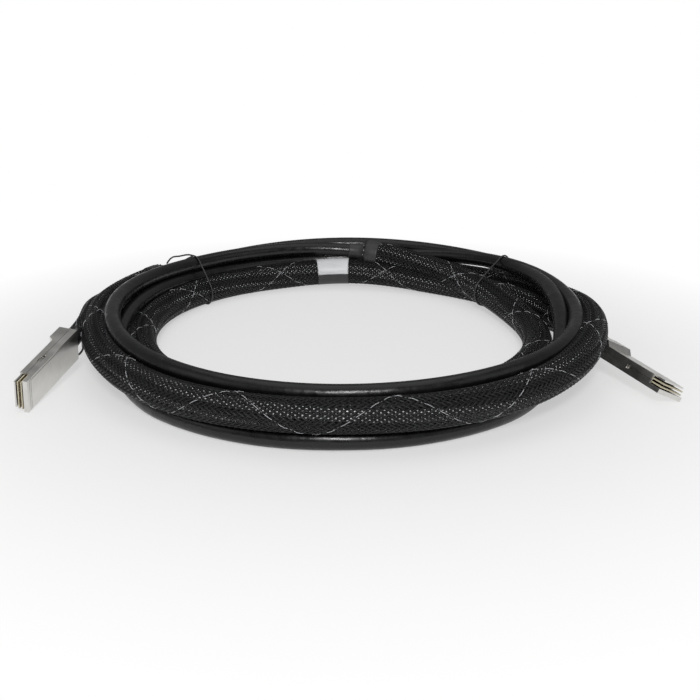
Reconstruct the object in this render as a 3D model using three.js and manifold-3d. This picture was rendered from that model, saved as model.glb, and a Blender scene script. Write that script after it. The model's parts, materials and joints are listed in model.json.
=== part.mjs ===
// A coiled copper cable with a twelve-lane metal plug on each end, lying on a flat surface.
// Millimetres, +Z up. The origin is on the surface, under the middle of the box round the two plugs.
// Each plug is built in a frame of its own: X towards its open nose, Y across its width, Z through
// its thickness, with the tip of its lower plate at X = 0.
import * as THREE from 'three';
import { mergeVertices } from 'three/addons/utils/BufferGeometryUtils.js';
import Module from 'manifold-3d';

const wasm = await Module();
wasm.setup();

// Clearances
const seat = 0.3;
const slideGap = 0.4;

// Plug shells
const plugWidth = 25;
const plugThick = 10.5;
const plugLength = 84;
const shellWall = 1.5;
const noseLength = 11;
const lipThick = 3.3;
const noseRoofThick = 1.2;
const noseRoofWidth = 20.6;
const noseRoofSetback = 1.2;
const seamHeight = 0.5;
const backRise = 4;
const backLength = 17;
const backSlope = 4;
const rearWall = 3;

// Grooves in the wide face of the lower shell
const grooveWidth = 0.6;
const grooveDepth = 0.4;
const bandLength = 3.4;
const bandGap = 2.2;
const panelInset = 1.3;

// Contact cards
const cardThick = 1;
const cardWidth = 21.4;
const cardLength = 27;
const cardSetback = 0.6;
const cardPitch = 2.6;
const lowerCardHeight = -0.45;
const cardSaddleLength = 6;
const padCount = 12;
const padWidth = 0.8;
const padLength = 4.2;
const padRise = 0.12;
const padSetback = 1.4;

// Release: two latch arms inside the shells and the pull loop behind them
const armThick = 0.8;
const armHeight = 3.2;
const armFront = 30;
const armTail = 0.5;
const hookLength = 5;
const hookHeight = 2.2;
const hookSink = 0.3;
const releaseTravel = 3;
const eyeLength = 2.6;
const eyeHeight = 6;
const loopRadius = 0.8;
const loopReach = 6;
const loopDrop = 5.4;
const loopBar = 16;

// Cover screws
const screwHeadRadius = 1.7;
const screwHeadHeight = 1.1;
const screwShankRadius = 0.9;
const screwSetIn = 5;
const screwSpread = 7.6;
const screwSides = 16;

// Cable exit and boot
const exitRadius = 5.4;
const exitHeight = 3;
const bootRadius = 7.3;
const bootEndRadius = 6.9;
const bootLength = 12;
const ferruleRadius = 4.4;
const ferruleLength = 12;
const wireBlockWidth = 17;
const wireBlockLength = 26;
const wireBlockHeight = 5.2;

// Coil
const coilInnerRadius = 149;
const coilOuterRadius = 214;
const coilHeight = 46;
const coilSquareness = 2.8;
const coilSides = 72;
const coilSectionSides = 16;

// Braided sleeve, smooth jacket and the pieces on them
const sleeveRadius = 12;
const jacketRadius = 6.5;
const collarWall = 0.9;
const collarLength = 28;
const labelWall = 0.35;
const labelLength = 31;
const tieThick = 1.3;
const tieWidth = 2.4;
const leadRadius = 6.6;
const leadSides = 10;
const leadStep = 16;
const leadSink = 14;

// Where things lie round the coil, in degrees from +X, and how high
const leftTieAngle = 137;
const rightTieAngle = 38;
const labelAngle = 92;
const labelRadius = 175;
const labelHeight = 13;
const leftCollarAngle = 146;
const leftCollarRadius = 196;
const leftCollarHeight = 31;
const rightCollarAngle = 85;
const rightCollarRadius = 192;
const rightCollarHeight = 33;

// Where each plug lies: the tip of its lower plate, seen from the middle of the coil
const leftPlug = { name: 'left', x: -227, y: -140, heading: -102, tilt: 7.5, roll: 84 };
const rightPlug = { name: 'right', x: 233, y: -124, heading: -65, tilt: 4.6, roll: -26.8 };

// The free stretch of cable between the left boot and the coil, as points chosen by hand
const leftRoute = [
  [-209.5, -14, 27.5],
  [-209.5, 6, 26],
  [-207.5, 26, 24],
];

const silver = { color: 0x9a9b96, roughness: 0.32, metalness: 1 };
const cardGreen = { color: 0xb9ac83, roughness: 0.55, metalness: 0 };
const blackNylon = { color: 0x0c0c0e, roughness: 0.55, metalness: 0 };
const blackJacket = { color: 0x0b0b0d, roughness: 0.3, metalness: 0 };
const labelWhite = { color: 0xe6eaee, roughness: 0.5, metalness: 0 };
const copper = { color: 0xa8693f, roughness: 0.4, metalness: 1 };
const resin = { color: 0x23211f, roughness: 0.6, metalness: 0 };
const steel = { color: 0x8b8d8f, roughness: 0.3, metalness: 1 };

function toSolid(geometry) {
  const bare = geometry.clone();
  bare.deleteAttribute('normal');
  bare.deleteAttribute('uv');
  const merged = mergeVertices(bare, 1e-4);
  const triVerts = new Uint32Array(merged.index.array);
  const vertProperties = new Float32Array(merged.attributes.position.array);
  return new wasm.Manifold(new wasm.Mesh({ numProp: 3, vertProperties, triVerts }));
}

function toGeometry(solid) {
  const mesh = solid.getMesh();
  const geometry = new THREE.BufferGeometry();
  geometry.setAttribute('position', new THREE.BufferAttribute(new Float32Array(mesh.vertProperties), 3));
  geometry.setIndex(new THREE.BufferAttribute(new Uint32Array(mesh.triVerts), 1));
  geometry.computeVertexNormals();
  return geometry;
}

// A box from its low and high corners
function block(low, high) {
  const size = high.map((v, i) => v - low[i]);
  const geometry = new THREE.BoxGeometry(...size);
  geometry.translate(...low.map((v, i) => v + size[i] / 2));
  return toSolid(geometry);
}

// A round bar along X, Y or Z
function bar(axis, radius, from, to, at, sides) {
  const geometry = new THREE.CylinderGeometry(radius, radius, to - from, sides);
  geometry.rotateX(Math.PI / 2);
  geometry.translate(0, 0, (from + to) / 2);
  if (axis === 'x') geometry.rotateY(Math.PI / 2);
  if (axis === 'y') geometry.rotateX(-Math.PI / 2);
  geometry.translate(...at);
  return toSolid(geometry);
}

function makeMesh(name, geometry, look) {
  const mesh = new THREE.Mesh(geometry, new THREE.MeshStandardMaterial(look));
  mesh.name = name;
  return mesh;
}

function joinAll(solids) {
  return solids.reduce((whole, next) => whole.add(next));
}

function cutAll(solid, tools) {
  return tools.reduce((left, tool) => left.subtract(tool), solid);
}

const half = plugWidth / 2;
const floorZ = -plugThick / 2;
const roofZ = plugThick / 2;
const backZ = roofZ + backRise;
const rearX = -plugLength;
const cavityHalf = half - shellWall;
const armOuter = cavityHalf - slideGap;
const armInner = armOuter - armThick;
const upperCardHeight = lowerCardHeight + cardPitch;

// The window in each side wall that a latch hook shows through
function hookWindows() {
  const front = -armFront + slideGap;
  const back = -armFront - hookLength - releaseTravel - slideGap;
  const high = hookHeight / 2 + slideGap;
  return [-1, 1].map((side) => {
    const y = [side * (cavityHalf - 1), side * (half + 1)].sort((a, b) => a - b);
    return block([back, y[0], -high], [front, y[1], high]);
  });
}

// The slot in the rear wall that a latch arm runs through
function armSlots() {
  const high = armHeight / 2 + slideGap;
  return [-1, 1].map((side) => {
    const y = [side * (armInner - slideGap), side * cavityHalf].sort((a, b) => a - b);
    return block([rearX - 1, y[0], -high], [rearX + rearWall + 1, y[1], high]);
  });
}

function screwPlaces() {
  const x = rearX + screwSetIn;
  return [[x, screwSpread], [x, -screwSpread]];
}

function exitHole() {
  return bar('x', exitRadius + seat, rearX - 1, rearX + rearWall + 1, [0, 0, exitHeight], 32);
}

// The lower shell: the wide plate with its lip, side walls up to the seam and half of the rear wall
function lowerShell() {
  const top = seamHeight - seat / 2;
  const body = block([rearX, -half, floorZ], [-noseLength, half, top]);
  const lip = block([-noseLength - 1, -half, floorZ], [0, half, floorZ + lipThick]);
  const cavity = block([rearX + rearWall, -cavityHalf, floorZ + shellWall], [-noseLength - 4, cavityHalf, top + 1]);
  const mouth = block([-noseLength - 5, -cavityHalf, floorZ + lipThick], [1, cavityHalf, top + 1]);
  const under = floorZ - 1;
  const deep = floorZ + grooveDepth;
  const grooves = [-bandLength, -bandLength - bandGap].map((x) => (
    block([x - grooveWidth, -half - 1, under], [x, half + 1, deep])
  ));
  const panelEdge = half - panelInset;
  const longGroove = block(
    [rearX + rearWall, panelEdge - grooveWidth, under],
    [-bandLength - bandGap, panelEdge, deep],
  );
  const taps = screwPlaces().map(([x, y]) => bar('z', screwShankRadius + seat, -2.5, top + 1, [x, y, 0], screwSides));
  const posts = screwPlaces().map(([x, y]) => block([x - 2, y - 1.6, floorZ], [x + 2, y + 1.6, top]));
  const walls = cutAll(body.add(lip), [cavity, mouth, ...grooves, longGroove]);
  const armRoom = armSlots();
  return cutAll(joinAll([walls, ...posts]), [...taps, exitHole(), ...hookWindows(), ...armRoom]);
}

// The upper shell: the cover, its narrower roof over the nose and the raised block over the cable
function upperShell() {
  const base = seamHeight + seat / 2;
  const body = block([rearX, -half, base], [-noseLength, half, roofZ]);
  const noseHalf = noseRoofWidth / 2;
  const noseRoof = block([-noseLength - 1, -noseHalf, roofZ - noseRoofThick], [-noseRoofSetback, noseHalf, roofZ]);
  const profile = new THREE.Shape([
    new THREE.Vector2(rearX, roofZ - 1),
    new THREE.Vector2(rearX + backLength + backSlope, roofZ - 1),
    new THREE.Vector2(rearX + backLength + backSlope, roofZ),
    new THREE.Vector2(rearX + backLength, backZ),
    new THREE.Vector2(rearX, backZ),
  ]);
  const raised = new THREE.ExtrudeGeometry(profile, { depth: plugWidth, bevelEnabled: false });
  raised.rotateX(Math.PI / 2);
  raised.translate(0, half, 0);
  const cavity = block(
    [rearX + rearWall, -cavityHalf, base - 1],
    [-noseLength - 4, cavityHalf, roofZ - shellWall],
  );
  const mouth = block([-noseLength - 5, -cavityHalf, base - 1], [1, cavityHalf, roofZ - noseRoofThick]);
  const backCavity = block(
    [rearX + rearWall, -exitRadius - 1, base - 1],
    [rearX + backLength - 1, exitRadius + 1, backZ - shellWall],
  );
  const holes = screwPlaces().flatMap(([x, y]) => [
    bar('z', screwShankRadius + seat, base - 1, backZ + 1, [x, y, 0], screwSides),
    bar('z', screwHeadRadius + seat, backZ - screwHeadHeight, backZ + 1, [x, y, 0], screwSides),
  ]);
  const solid = body.add(noseRoof).add(toSolid(raised));
  const posts = screwPlaces().map(([x, y]) => block([x - 2, y - 1.6, base], [x + 2, y + 1.6, roofZ]));
  const hollow = cutAll(solid, [cavity, mouth, backCavity]);
  return cutAll(joinAll([hollow, ...posts]), [...holes, exitHole(), ...hookWindows(), ...armSlots()]);
}

// A contact card with its row of pads on both faces, near its front edge
function contactCard(height) {
  const front = -cardSetback;
  const edge = cardWidth / 2;
  const low = height - cardThick / 2;
  const high = height + cardThick / 2;
  const card = block([front - cardLength, -edge, low], [front, edge, high]);
  const pitch = cardWidth / padCount;
  const pads = Array.from({ length: padCount }, (_, i) => {
    const y = -edge + pitch * (i + 0.5);
    return block(
      [front - padSetback - padLength, y - padWidth / 2, low - padRise],
      [front - padSetback, y + padWidth / 2, high + padRise],
    );
  });
  return joinAll([card, ...pads]);
}

// The moulded saddle that carries both cards by their back ends
function cardSaddle() {
  const back = -cardSetback - cardLength - 4;
  const front = back + cardSaddleLength + 4;
  const wide = armInner - slideGap;
  const low = floorZ + shellWall + seat;
  const high = roofZ - shellWall - seat;
  const body = block([back, -wide, low], [front, wide, high]);
  const slots = [lowerCardHeight, upperCardHeight].map((z) => block(
    [-cardSetback - cardLength - seat, -cardWidth / 2 - seat, z - cardThick / 2 - seat],
    [front + 1, cardWidth / 2 + seat, z + cardThick / 2 + seat],
  ));
  return cutAll(body, slots);
}

// The block of potted wires between the cards and the ferrule
function wireBlock() {
  const front = -cardSetback - cardLength - 4 - seat;
  const wide = wireBlockWidth / 2;
  const low = floorZ + shellWall + seat;
  return block([front - wireBlockLength, -wide, low], [front, wide, low + wireBlockHeight]);
}

// One latch arm: a strip along the side wall, its hook and the eye that holds the pull loop
function latchArm(side) {
  const order = (a, b) => [side * a, side * b].sort((p, q) => p - q);
  const strip = order(armInner, armOuter);
  const hook = order(armInner, half - hookSink);
  const back = rearX - armTail;
  const body = block([back, strip[0], -armHeight / 2], [-armFront, strip[1], armHeight / 2]);
  const tooth = block(
    [-armFront - hookLength, hook[0], -hookHeight / 2],
    [-armFront, hook[1], hookHeight / 2],
  );
  const eye = block([back - eyeLength, strip[0], -eyeHeight / 2], [rearX - seat, strip[1], eyeHeight / 2]);
  const hole = bar('y', loopRadius + seat, -half, half, [back - eyeLength / 2, 0, 0], screwSides);
  return body.add(tooth).add(eye).subtract(hole);
}

// The pull loop: one bent wire whose ends sit in the eyes, its bar under the boot
function pullLoop() {
  const x = rearX - armTail - eyeLength / 2;
  const end = armInner - 0.9;
  const wide = armOuter + 1.6;
  const half = loopBar / 2;
  const side = [
    [x, end, 0],
    [x, wide - 0.5, 0],
    [x - 1, wide, -0.2],
    [x - loopReach * 0.6, wide - 0.4, -loopDrop * 0.6],
    [x - loopReach, half, -loopDrop],
    [x - loopReach, half * 0.5, -loopDrop],
  ];
  const mirrored = side.map(([px, py, pz]) => [px, -py, pz]).reverse();
  const points = [...side, ...mirrored].map((p) => new THREE.Vector3(...p));
  return sweep(new THREE.CatmullRomCurve3(points, false, 'centripetal'), loopRadius, 8, 36);
}

// A round bar swept along a path
function sweep(path, radius, sides, steps) {
  const corners = Array.from({ length: sides }, (_, i) => {
    const turn = (2 * Math.PI * (i + 0.5)) / sides;
    return new THREE.Vector2(radius * Math.cos(turn), radius * Math.sin(turn));
  });
  return new THREE.ExtrudeGeometry(new THREE.Shape(corners), { steps, extrudePath: path, bevelEnabled: false });
}

// A cover screw: a flat head and its shank
function screw(x, y) {
  const head = bar('z', screwHeadRadius, backZ - screwHeadHeight + seat, backZ, [x, y, 0], screwSides);
  const shank = bar('z', screwShankRadius, -2.5 + seat, backZ - screwHeadHeight + 0.5, [x, y, 0], screwSides);
  return head.add(shank);
}

// A turned piece on the cable's axis: [x, radius] pairs from its nose end to its cable end
function turned(pairs, sides) {
  const profile = [[pairs[0][0], 0], ...pairs, [pairs[pairs.length - 1][0], 0]];
  const geometry = new THREE.LatheGeometry(profile.map(([x, r]) => new THREE.Vector2(r, -x)), sides);
  geometry.rotateZ(Math.PI / 2);
  geometry.translate(0, 0, exitHeight);
  return geometry;
}

function boot() {
  const throat = rearX + rearWall;
  return turned([
    [throat, exitRadius],
    [rearX - seat, exitRadius],
    [rearX - seat, bootRadius],
    [rearX - bootLength * 0.5, bootRadius],
    [rearX - bootLength, bootEndRadius],
  ], 24);
}

function ferrule() {
  const start = rearX + rearWall + ferruleLength;
  return turned([[start, ferruleRadius], [rearX + rearWall + seat, ferruleRadius]], 24);
}

// A plug's group: every piece in the plug's own frame
function makePlug({ name, heading, tilt, roll }) {
  const group = new THREE.Group();
  const add = (piece, geometry, look) => group.add(makeMesh(`${name}_${piece}`, geometry, look));
  add('lower_shell', toGeometry(lowerShell()), silver);
  add('upper_shell', toGeometry(upperShell()), silver);
  add('lower_card', toGeometry(contactCard(lowerCardHeight)), cardGreen);
  add('upper_card', toGeometry(contactCard(upperCardHeight)), cardGreen);
  add('card_saddle', toGeometry(cardSaddle()), resin);
  add('wire_block', toGeometry(wireBlock()), resin);
  add('ferrule', ferrule(), copper);
  add('boot', boot(), blackJacket);
  add('latch_arm_1', toGeometry(latchArm(1)), steel);
  add('latch_arm_2', toGeometry(latchArm(-1)), steel);
  add('pull_loop', pullLoop(), blackNylon);
  screwPlaces().forEach(([x, y], i) => add(`screw_${i + 1}`, toGeometry(screw(x, y)), steel));
  const turn = THREE.MathUtils.degToRad;
  const spin = new THREE.Matrix4().makeRotationZ(turn(heading));
  spin.multiply(new THREE.Matrix4().makeRotationY(turn(tilt)));
  spin.multiply(new THREE.Matrix4().makeRotationX(turn(roll)));
  group.setRotationFromMatrix(spin);
  return group;
}

// Sets a plug down so that its lowest shell corner is on the surface
function layPlug(group, { name, x, y }) {
  group.updateMatrixWorld(true);
  const shells = ['lower_shell', 'upper_shell'].map((piece) => group.getObjectByName(`${name}_${piece}`));
  const lowest = Math.min(...shells.map((shell) => new THREE.Box3().setFromObject(shell, true).min.z));
  group.position.set(x, y, -lowest);
  group.updateMatrixWorld(true);
  return group;
}

// The outline of the wound coil, cut across: rounded, with a flat foot. grow widens it all round.
function coilSection(grow) {
  const wide = (coilOuterRadius - coilInnerRadius) / 2 + grow;
  const high = coilHeight / 2 + grow;
  const power = 2 / coilSquareness;
  return Array.from({ length: coilSectionSides }, (_, i) => {
    const turn = (2 * Math.PI * (i + 0.5)) / coilSectionSides;
    const c = Math.cos(turn);
    const s = Math.sin(turn);
    const x = wide * Math.sign(c) * Math.abs(c) ** power;
    const z = high * Math.sign(s) * Math.abs(s) ** power;
    return new THREE.Vector2(x, z);
  });
}

const coilMiddle = (coilOuterRadius + coilInnerRadius) / 2;
const coilSectionLow = Math.min(...coilSection(0).map((p) => p.y));

function coilSolid() {
  const profile = coilSection(0).map((p) => new THREE.Vector2(coilMiddle + p.x, p.y - coilSectionLow));
  profile.push(profile[0].clone());
  const ring = new THREE.LatheGeometry(profile, coilSides);
  ring.rotateX(Math.PI / 2);
  return toSolid(ring);
}

// A short tube round a strand of the coil, centred at an angle round it
function strandTube(outer, inner, length, angle, radius, height, sides) {
  const turn = THREE.MathUtils.degToRad(angle);
  const geometry = new THREE.LatheGeometry([
    new THREE.Vector2(inner, -length / 2),
    new THREE.Vector2(outer, -length / 2),
    new THREE.Vector2(outer, length / 2),
    new THREE.Vector2(inner, length / 2),
    new THREE.Vector2(inner, -length / 2),
  ], sides);
  geometry.translate(radius, 0, 0);
  geometry.rotateZ(turn);
  geometry.translate(0, 0, height);
  return geometry;
}

// A solid bar on a strand of the coil, centred at an angle round it
function strandBar(barRadius, length, angle, radius, height) {
  const geometry = new THREE.CylinderGeometry(barRadius, barRadius, length, 24);
  geometry.translate(radius, 0, 0);
  geometry.rotateZ(THREE.MathUtils.degToRad(angle));
  geometry.translate(0, 0, height);
  return toSolid(geometry);
}

// The room a tube needs in the coil, with a window from the strand to the coil's surface
function strandRoom({ inner, wall, length, angle, radius, height, window }) {
  const outer = inner + wall + seat;
  const long = length + 2 * seat;
  const opening = new THREE.BoxGeometry(window.across, long, window.tall);
  opening.translate(radius + window.shift, 0, 0);
  opening.rotateZ(THREE.MathUtils.degToRad(angle));
  opening.translate(0, 0, window.middle);
  const room = strandBar(outer, long, angle, radius, height).add(toSolid(opening));
  return room.subtract(strandBar(inner - seat, long + 2, angle, radius, height));
}

// A flat band round the whole bundle, between two outlines of its section
function bundleBand(angle, outerGrow, innerGrow, width) {
  const outline = new THREE.Shape(coilSection(outerGrow));
  outline.holes.push(new THREE.Path(coilSection(innerGrow)));
  const geometry = new THREE.ExtrudeGeometry(outline, { depth: width, bevelEnabled: false });
  geometry.translate(coilMiddle, -coilSectionLow, -width / 2);
  geometry.rotateX(Math.PI / 2);
  geometry.rotateZ(THREE.MathUtils.degToRad(angle));
  return geometry;
}

// A tie pinches the bundle a little, so it lies just inside the coil's outline
function tie(angle) {
  return bundleBand(angle, -seat, -seat - tieThick, tieWidth);
}

function tieGroove(angle) {
  return toSolid(bundleBand(angle, 1, -2 * seat - tieThick, tieWidth + 2 * seat));
}

const cable = new THREE.Group();
const leftGroup = layPlug(makePlug(leftPlug), leftPlug);
const rightGroup = layPlug(makePlug(rightPlug), rightPlug);
cable.add(leftGroup, rightGroup);

// The left lead: out of the boot along its axis, then along the route into the coil
const bootEnd = new THREE.Vector3(rearX - bootLength - seat, 0, exitHeight).applyMatrix4(leftGroup.matrixWorld);
const afterBoot = new THREE.Vector3(rearX - bootLength - leadSink, 0, exitHeight).applyMatrix4(leftGroup.matrixWorld);
const leadPath = new THREE.CatmullRomCurve3(
  [bootEnd, afterBoot, ...leftRoute.map((p) => new THREE.Vector3(...p))],
  false,
  'centripetal',
);
const leadSteps = Math.ceil(leadPath.getLength() / leadStep);

// Room in the coil for what enters it or sits on one of its strands
const leadRoom = toSolid(sweep(leadPath, leadRadius + seat, leadSides, leadSteps));
const loopWide = armOuter + 1.6 + loopRadius + slideGap;
const bootBack = rearX - bootLength - seat;
const loopLow = -loopDrop - 2 * loopRadius;
const bootTop = exitHeight + bootRadius + seat;
const plugRooms = [leftGroup, rightGroup].map((plug) => {
  const room = toGeometry(block([bootBack, -loopWide, loopLow], [-noseLength, loopWide, bootTop]));
  return toSolid(room.applyMatrix4(plug.matrixWorld));
});
const collarWindow = { across: 2 * jacketRadius, shift: 0, tall: coilHeight / 2, middle: coilHeight };
const tubes = [
  {
    name: 'label',
    inner: sleeveRadius + seat,
    wall: labelWall,
    length: labelLength,
    angle: labelAngle,
    radius: labelRadius,
    height: labelHeight,
    window: { across: 2 * sleeveRadius, shift: -2 * sleeveRadius, tall: coilHeight, middle: coilHeight / 2 + labelWall },
    look: labelWhite,
  },
  {
    name: 'left_collar',
    inner: jacketRadius + seat,
    wall: collarWall,
    length: collarLength,
    angle: leftCollarAngle,
    radius: leftCollarRadius,
    height: leftCollarHeight,
    window: collarWindow,
    look: blackJacket,
  },
  {
    name: 'right_collar',
    inner: jacketRadius + seat,
    wall: collarWall,
    length: collarLength,
    angle: rightCollarAngle,
    radius: rightCollarRadius,
    height: rightCollarHeight,
    window: collarWindow,
    look: blackJacket,
  },
];
const grooves = [leftTieAngle, rightTieAngle].map(tieGroove);
const coil = cutAll(coilSolid(), [leadRoom, ...plugRooms, ...tubes.map(strandRoom), ...grooves]);

cable.add(makeMesh('coil', toGeometry(coil), blackJacket));
cable.add(makeMesh('left_lead', sweep(leadPath, leadRadius, leadSides, leadSteps), blackJacket));
tubes.forEach(({ name, inner, wall, length, angle, radius, height, look }) => {
  cable.add(makeMesh(name, strandTube(inner + wall, inner, length, angle, radius, height, 24), look));
});
cable.add(makeMesh('left_tie', tie(leftTieAngle), blackNylon));
cable.add(makeMesh('right_tie', tie(rightTieAngle), blackNylon));

// The origin is on the surface, under the middle of the box round the two plugs
const plugs = new THREE.Box3().setFromObject(leftGroup, true);
plugs.union(new THREE.Box3().setFromObject(rightGroup, true));
cable.position.set(-(plugs.min.x + plugs.max.x) / 2, -(plugs.min.y + plugs.max.y) / 2, 0);

export default cable;
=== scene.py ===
import json
import math

import bmesh
import bpy
import numpy as np
from bpy.props import FloatProperty, FloatVectorProperty, IntProperty, PointerProperty
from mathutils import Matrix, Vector

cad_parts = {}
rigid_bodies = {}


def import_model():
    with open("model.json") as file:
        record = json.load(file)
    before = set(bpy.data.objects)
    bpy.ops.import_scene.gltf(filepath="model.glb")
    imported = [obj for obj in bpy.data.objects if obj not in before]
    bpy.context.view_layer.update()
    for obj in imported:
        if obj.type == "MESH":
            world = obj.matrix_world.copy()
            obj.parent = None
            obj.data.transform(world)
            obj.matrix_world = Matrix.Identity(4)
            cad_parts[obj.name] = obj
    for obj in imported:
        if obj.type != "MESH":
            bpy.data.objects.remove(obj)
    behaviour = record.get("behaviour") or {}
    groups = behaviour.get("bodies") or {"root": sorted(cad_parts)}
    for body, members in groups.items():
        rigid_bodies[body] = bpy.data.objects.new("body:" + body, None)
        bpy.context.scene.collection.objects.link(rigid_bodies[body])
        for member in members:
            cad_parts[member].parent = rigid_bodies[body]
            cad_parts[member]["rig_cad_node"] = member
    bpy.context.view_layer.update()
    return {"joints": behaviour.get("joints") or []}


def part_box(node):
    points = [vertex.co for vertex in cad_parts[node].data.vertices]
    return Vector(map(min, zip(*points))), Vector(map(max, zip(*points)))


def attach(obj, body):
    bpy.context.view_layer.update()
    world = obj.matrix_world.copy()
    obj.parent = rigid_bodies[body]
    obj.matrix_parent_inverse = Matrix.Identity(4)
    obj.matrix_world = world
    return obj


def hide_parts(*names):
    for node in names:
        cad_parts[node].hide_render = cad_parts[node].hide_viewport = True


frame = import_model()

bl_info = {
    "name": "Coiled Braided Cable",
    "version": (1, 0, 0),
    "blender": (4, 5, 0),
    "location": "3D View > Sidebar > Cable",
    "description": "Dresses a coiled direct attach copper cable and its two plugs",
    "category": "Add Mesh",
}

MM = 0.001

# The photograph's camera, in metres and degrees
CAMERA_BACK = 0.854
CAMERA_HEIGHT = 0.300
CAMERA_PITCH = 19.5
CAMERA_LENS = 56.57
SENSOR_WIDTH = 36.0
PHOTO_SIZE = 700
PHOTO_CENTRE_X = 345.5

# Where the cable leaves each boot, in the row frame
LEFT_EXIT = Vector((-0.21530, 0.04209, 0.02571))
RIGHT_EXIT = Vector((0.188714, 0.05151, 0.020657))

# The cable's centre line round the coil, clockwise from above: the angle in degrees from +X,
# then the radius and the height of the centre line in millimetres
LEFT_SLEEVE_KEYS = [
    (173, 207, 25), (160, 207, 20), (135, 205, 12), (90, 205, 12), (50, 204, 13),
    (20, 198, 22), (-8, 196, 31), (-45, 202, 27), (-90, 204, 25), (-135, 200, 23), (-180, 199, 29),
]
TRUNK_KEYS = [
    (-213, 203, 28), (-245, 202, 34), (-270, 201, 37), (-315, 191, 37), (-360, 172, 37),
    (-405, 187, 9), (-450, 202, 7), (-495, 196, 7), (-540, 180, 24), (-585, 188, 24),
    (-630, 193, 25), (-675, 189, 38), (-720, 184, 37), (-765, 186, 35), (-810, 183, 32),
    (-855, 185, 34), (-900, 186, 39), (-945, 190, 36),
]
RIGHT_SLEEVE_KEYS = [
    (-995, 189, 32), (-1015, 180, 24), (-1035, 168, 18), (-1053, 158, 14), (-1083, 155, 12),
    (-1125, 158, 12), (-1170, 163, 12), (-1215, 164, 12), (-1260, 166, 12), (-1280, 172, 12),
    (-1298, 178, 12), (-1328, 183, 12), (-1352, 181, 15), (-1380, 176, 12), (-1405, 178, 12),
    (-1425, 181, 13),
]
# The same angles of the left boot's end, the two collars and the label
LEFT_START_ANGLE = 192.3
LEFT_COLLAR_ANGLE = -214
RIGHT_COLLAR_ANGLE = -995
LABEL_ANGLE = -1346

# All sizes from here on are in metres. The centre line is splined at every few degrees of turn,
# with the turn measured at this radius; its points then lie one route step apart
SPLINE_RADIUS = 0.19
SPLINE_TURN = math.radians(7.5)
ROUTE_STEP = 0.003
BOOT_RUN = 0.014

# The lowest that the centre line of the jacket and of the sleeve may lie above the floor
JACKET_SEAT = 0.0066
SLEEVE_SEAT = 0.0121

# The braid: how far a ribbon's middle stands up, how far it weaves in and out, and its tracers
BRAID_CROWN = 0.00035
BRAID_LIFT = 0.00025
WEAVE_GAIN = 1.414
BRAID_PHASE = {"left": 0.3, "right": 1.1}
TRACER_DEPTH = 0.00035
TRACER_LIFT = 0.00034
TRACER_RADIUS = 0.00021

# The insulated pairs inside a sleeve, laid round a plain core
PAIR_COUNT = 12
PAIR_DEPTH = 0.0033
PAIR_RADIUS = 0.0023
PAIR_LAY = 0.9
PAIR_STEP = 0.007
# Pairs painted white stand for painted glints seen through the braid's gaps; pairs painted black stand
# for painted shade between those rows
GLINT_PAINTED_PAIRS = (0, 1, 3, 6, 8, 9)
SHADE_PAINTED_PAIRS = (2, 4, 5, 7, 10, 11)
CORE_RADIUS = 0.0075
CORE_STEP = 0.008
JACKET_STEP = 0.004

# The shrunk collars: their length, their thickness on the braid and on the jacket, ridge and lips
COLLAR_LENGTH = 0.030
COLLAR_ON_SLEEVE = 0.0005
COLLAR_ON_JACKET = 0.0009
COLLAR_RIDGE = 0.0006
COLLAR_LIP = 0.0006
COLLAR_SHARES = (0.0, 0.02, 0.06, 0.3, 0.42, 0.48, 0.52, 0.56, 0.62, 0.8, 0.94, 0.98, 1.0)

# The label: half its length, the gap and thickness of its films, and the arc that it covers
LABEL_REACH = 0.0155
WRAP_GAP = 0.0002
LABEL_GAP = 0.0003
LABEL_THICKNESS = 0.0003
LABEL_WAVE = 0.00012
LABEL_TURN = (math.radians(-35), math.radians(92))

# Each tie's side, its bearing in degrees and whether it has a loose tail; the tail's points lie
# outward, along the coil and up from the top of the loop
TIES = (("left", 137, True), ("right", 40, False))
TIE_TAIL = (
    (0, 0, 0), (0.006, 0.004, 0.001), (0.010, 0.010, 0), (0.012, 0.016, 0), (0.016, 0.020, -0.006),
)
TIE_RADIUS = 0.00075
TIE_CLEARANCE = 0.0009
TIE_STEP = 0.002

# The plugs: the direction that the wide face of each plug's cards looks in, and the cards' colours, the
# pads' gold darkened with painted shade
PLUG_FACING = {"left": (-0.975626, 0.193427, 0.103634), "right": (0.438887, 0.125672, 0.889711)}
CARD_EDGE = (0.62, 0.57, 0.42)
CARD_GOLD_PAINTED_SHADE = (0.22, 0.15, 0.065)
MERGE_DISTANCE = 1e-6
FLAT_ANGLE = math.radians(1.0)
EDGE_ANGLE = math.radians(35)
PLUG_FINISHES = (
    ("lower_card", "card"), ("upper_card", "card"), ("card_saddle", "resin"), ("wire_block", "potting"),
    ("ferrule", "copper"), ("boot", "rubber"), ("latch_arm_1", "sprung"), ("latch_arm_2", "sprung"),
    ("pull_loop", "nylon"), ("screw_1", "screw"), ("screw_2", "screw"),
)

# The stage: the floor, where its shade fades to white, the world's light, and for each lamp its
# name, place, aim, size and the setting that holds its power
FLOOR_REACH = 6.0
FLOOR_FORWARD = 0.03
FLOOR_DROP = 0.0002
SHADE_SHARE = 0.5
SHADE_NEAR = 0.2
SHADE_FAR = 0.42
WORLD_STRENGTH = 0.2
LAMPS = (
    ("Front", (0.0, -1.25, 1.0), (0, 0.05, 0), 0.35, "front_power"),
    ("Overhead", (0.0, 0.25, 1.5), (0, 0.1, 0), 1.6, "key_power"),
    ("Left side", (-1.3, -0.5, 0.8), (0, 0.1, 0), 0.9, "fill_power"),
    ("Right side", (1.3, -0.5, 0.8), (0, 0.1, 0), 0.9, "fill_power"),
)


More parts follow.
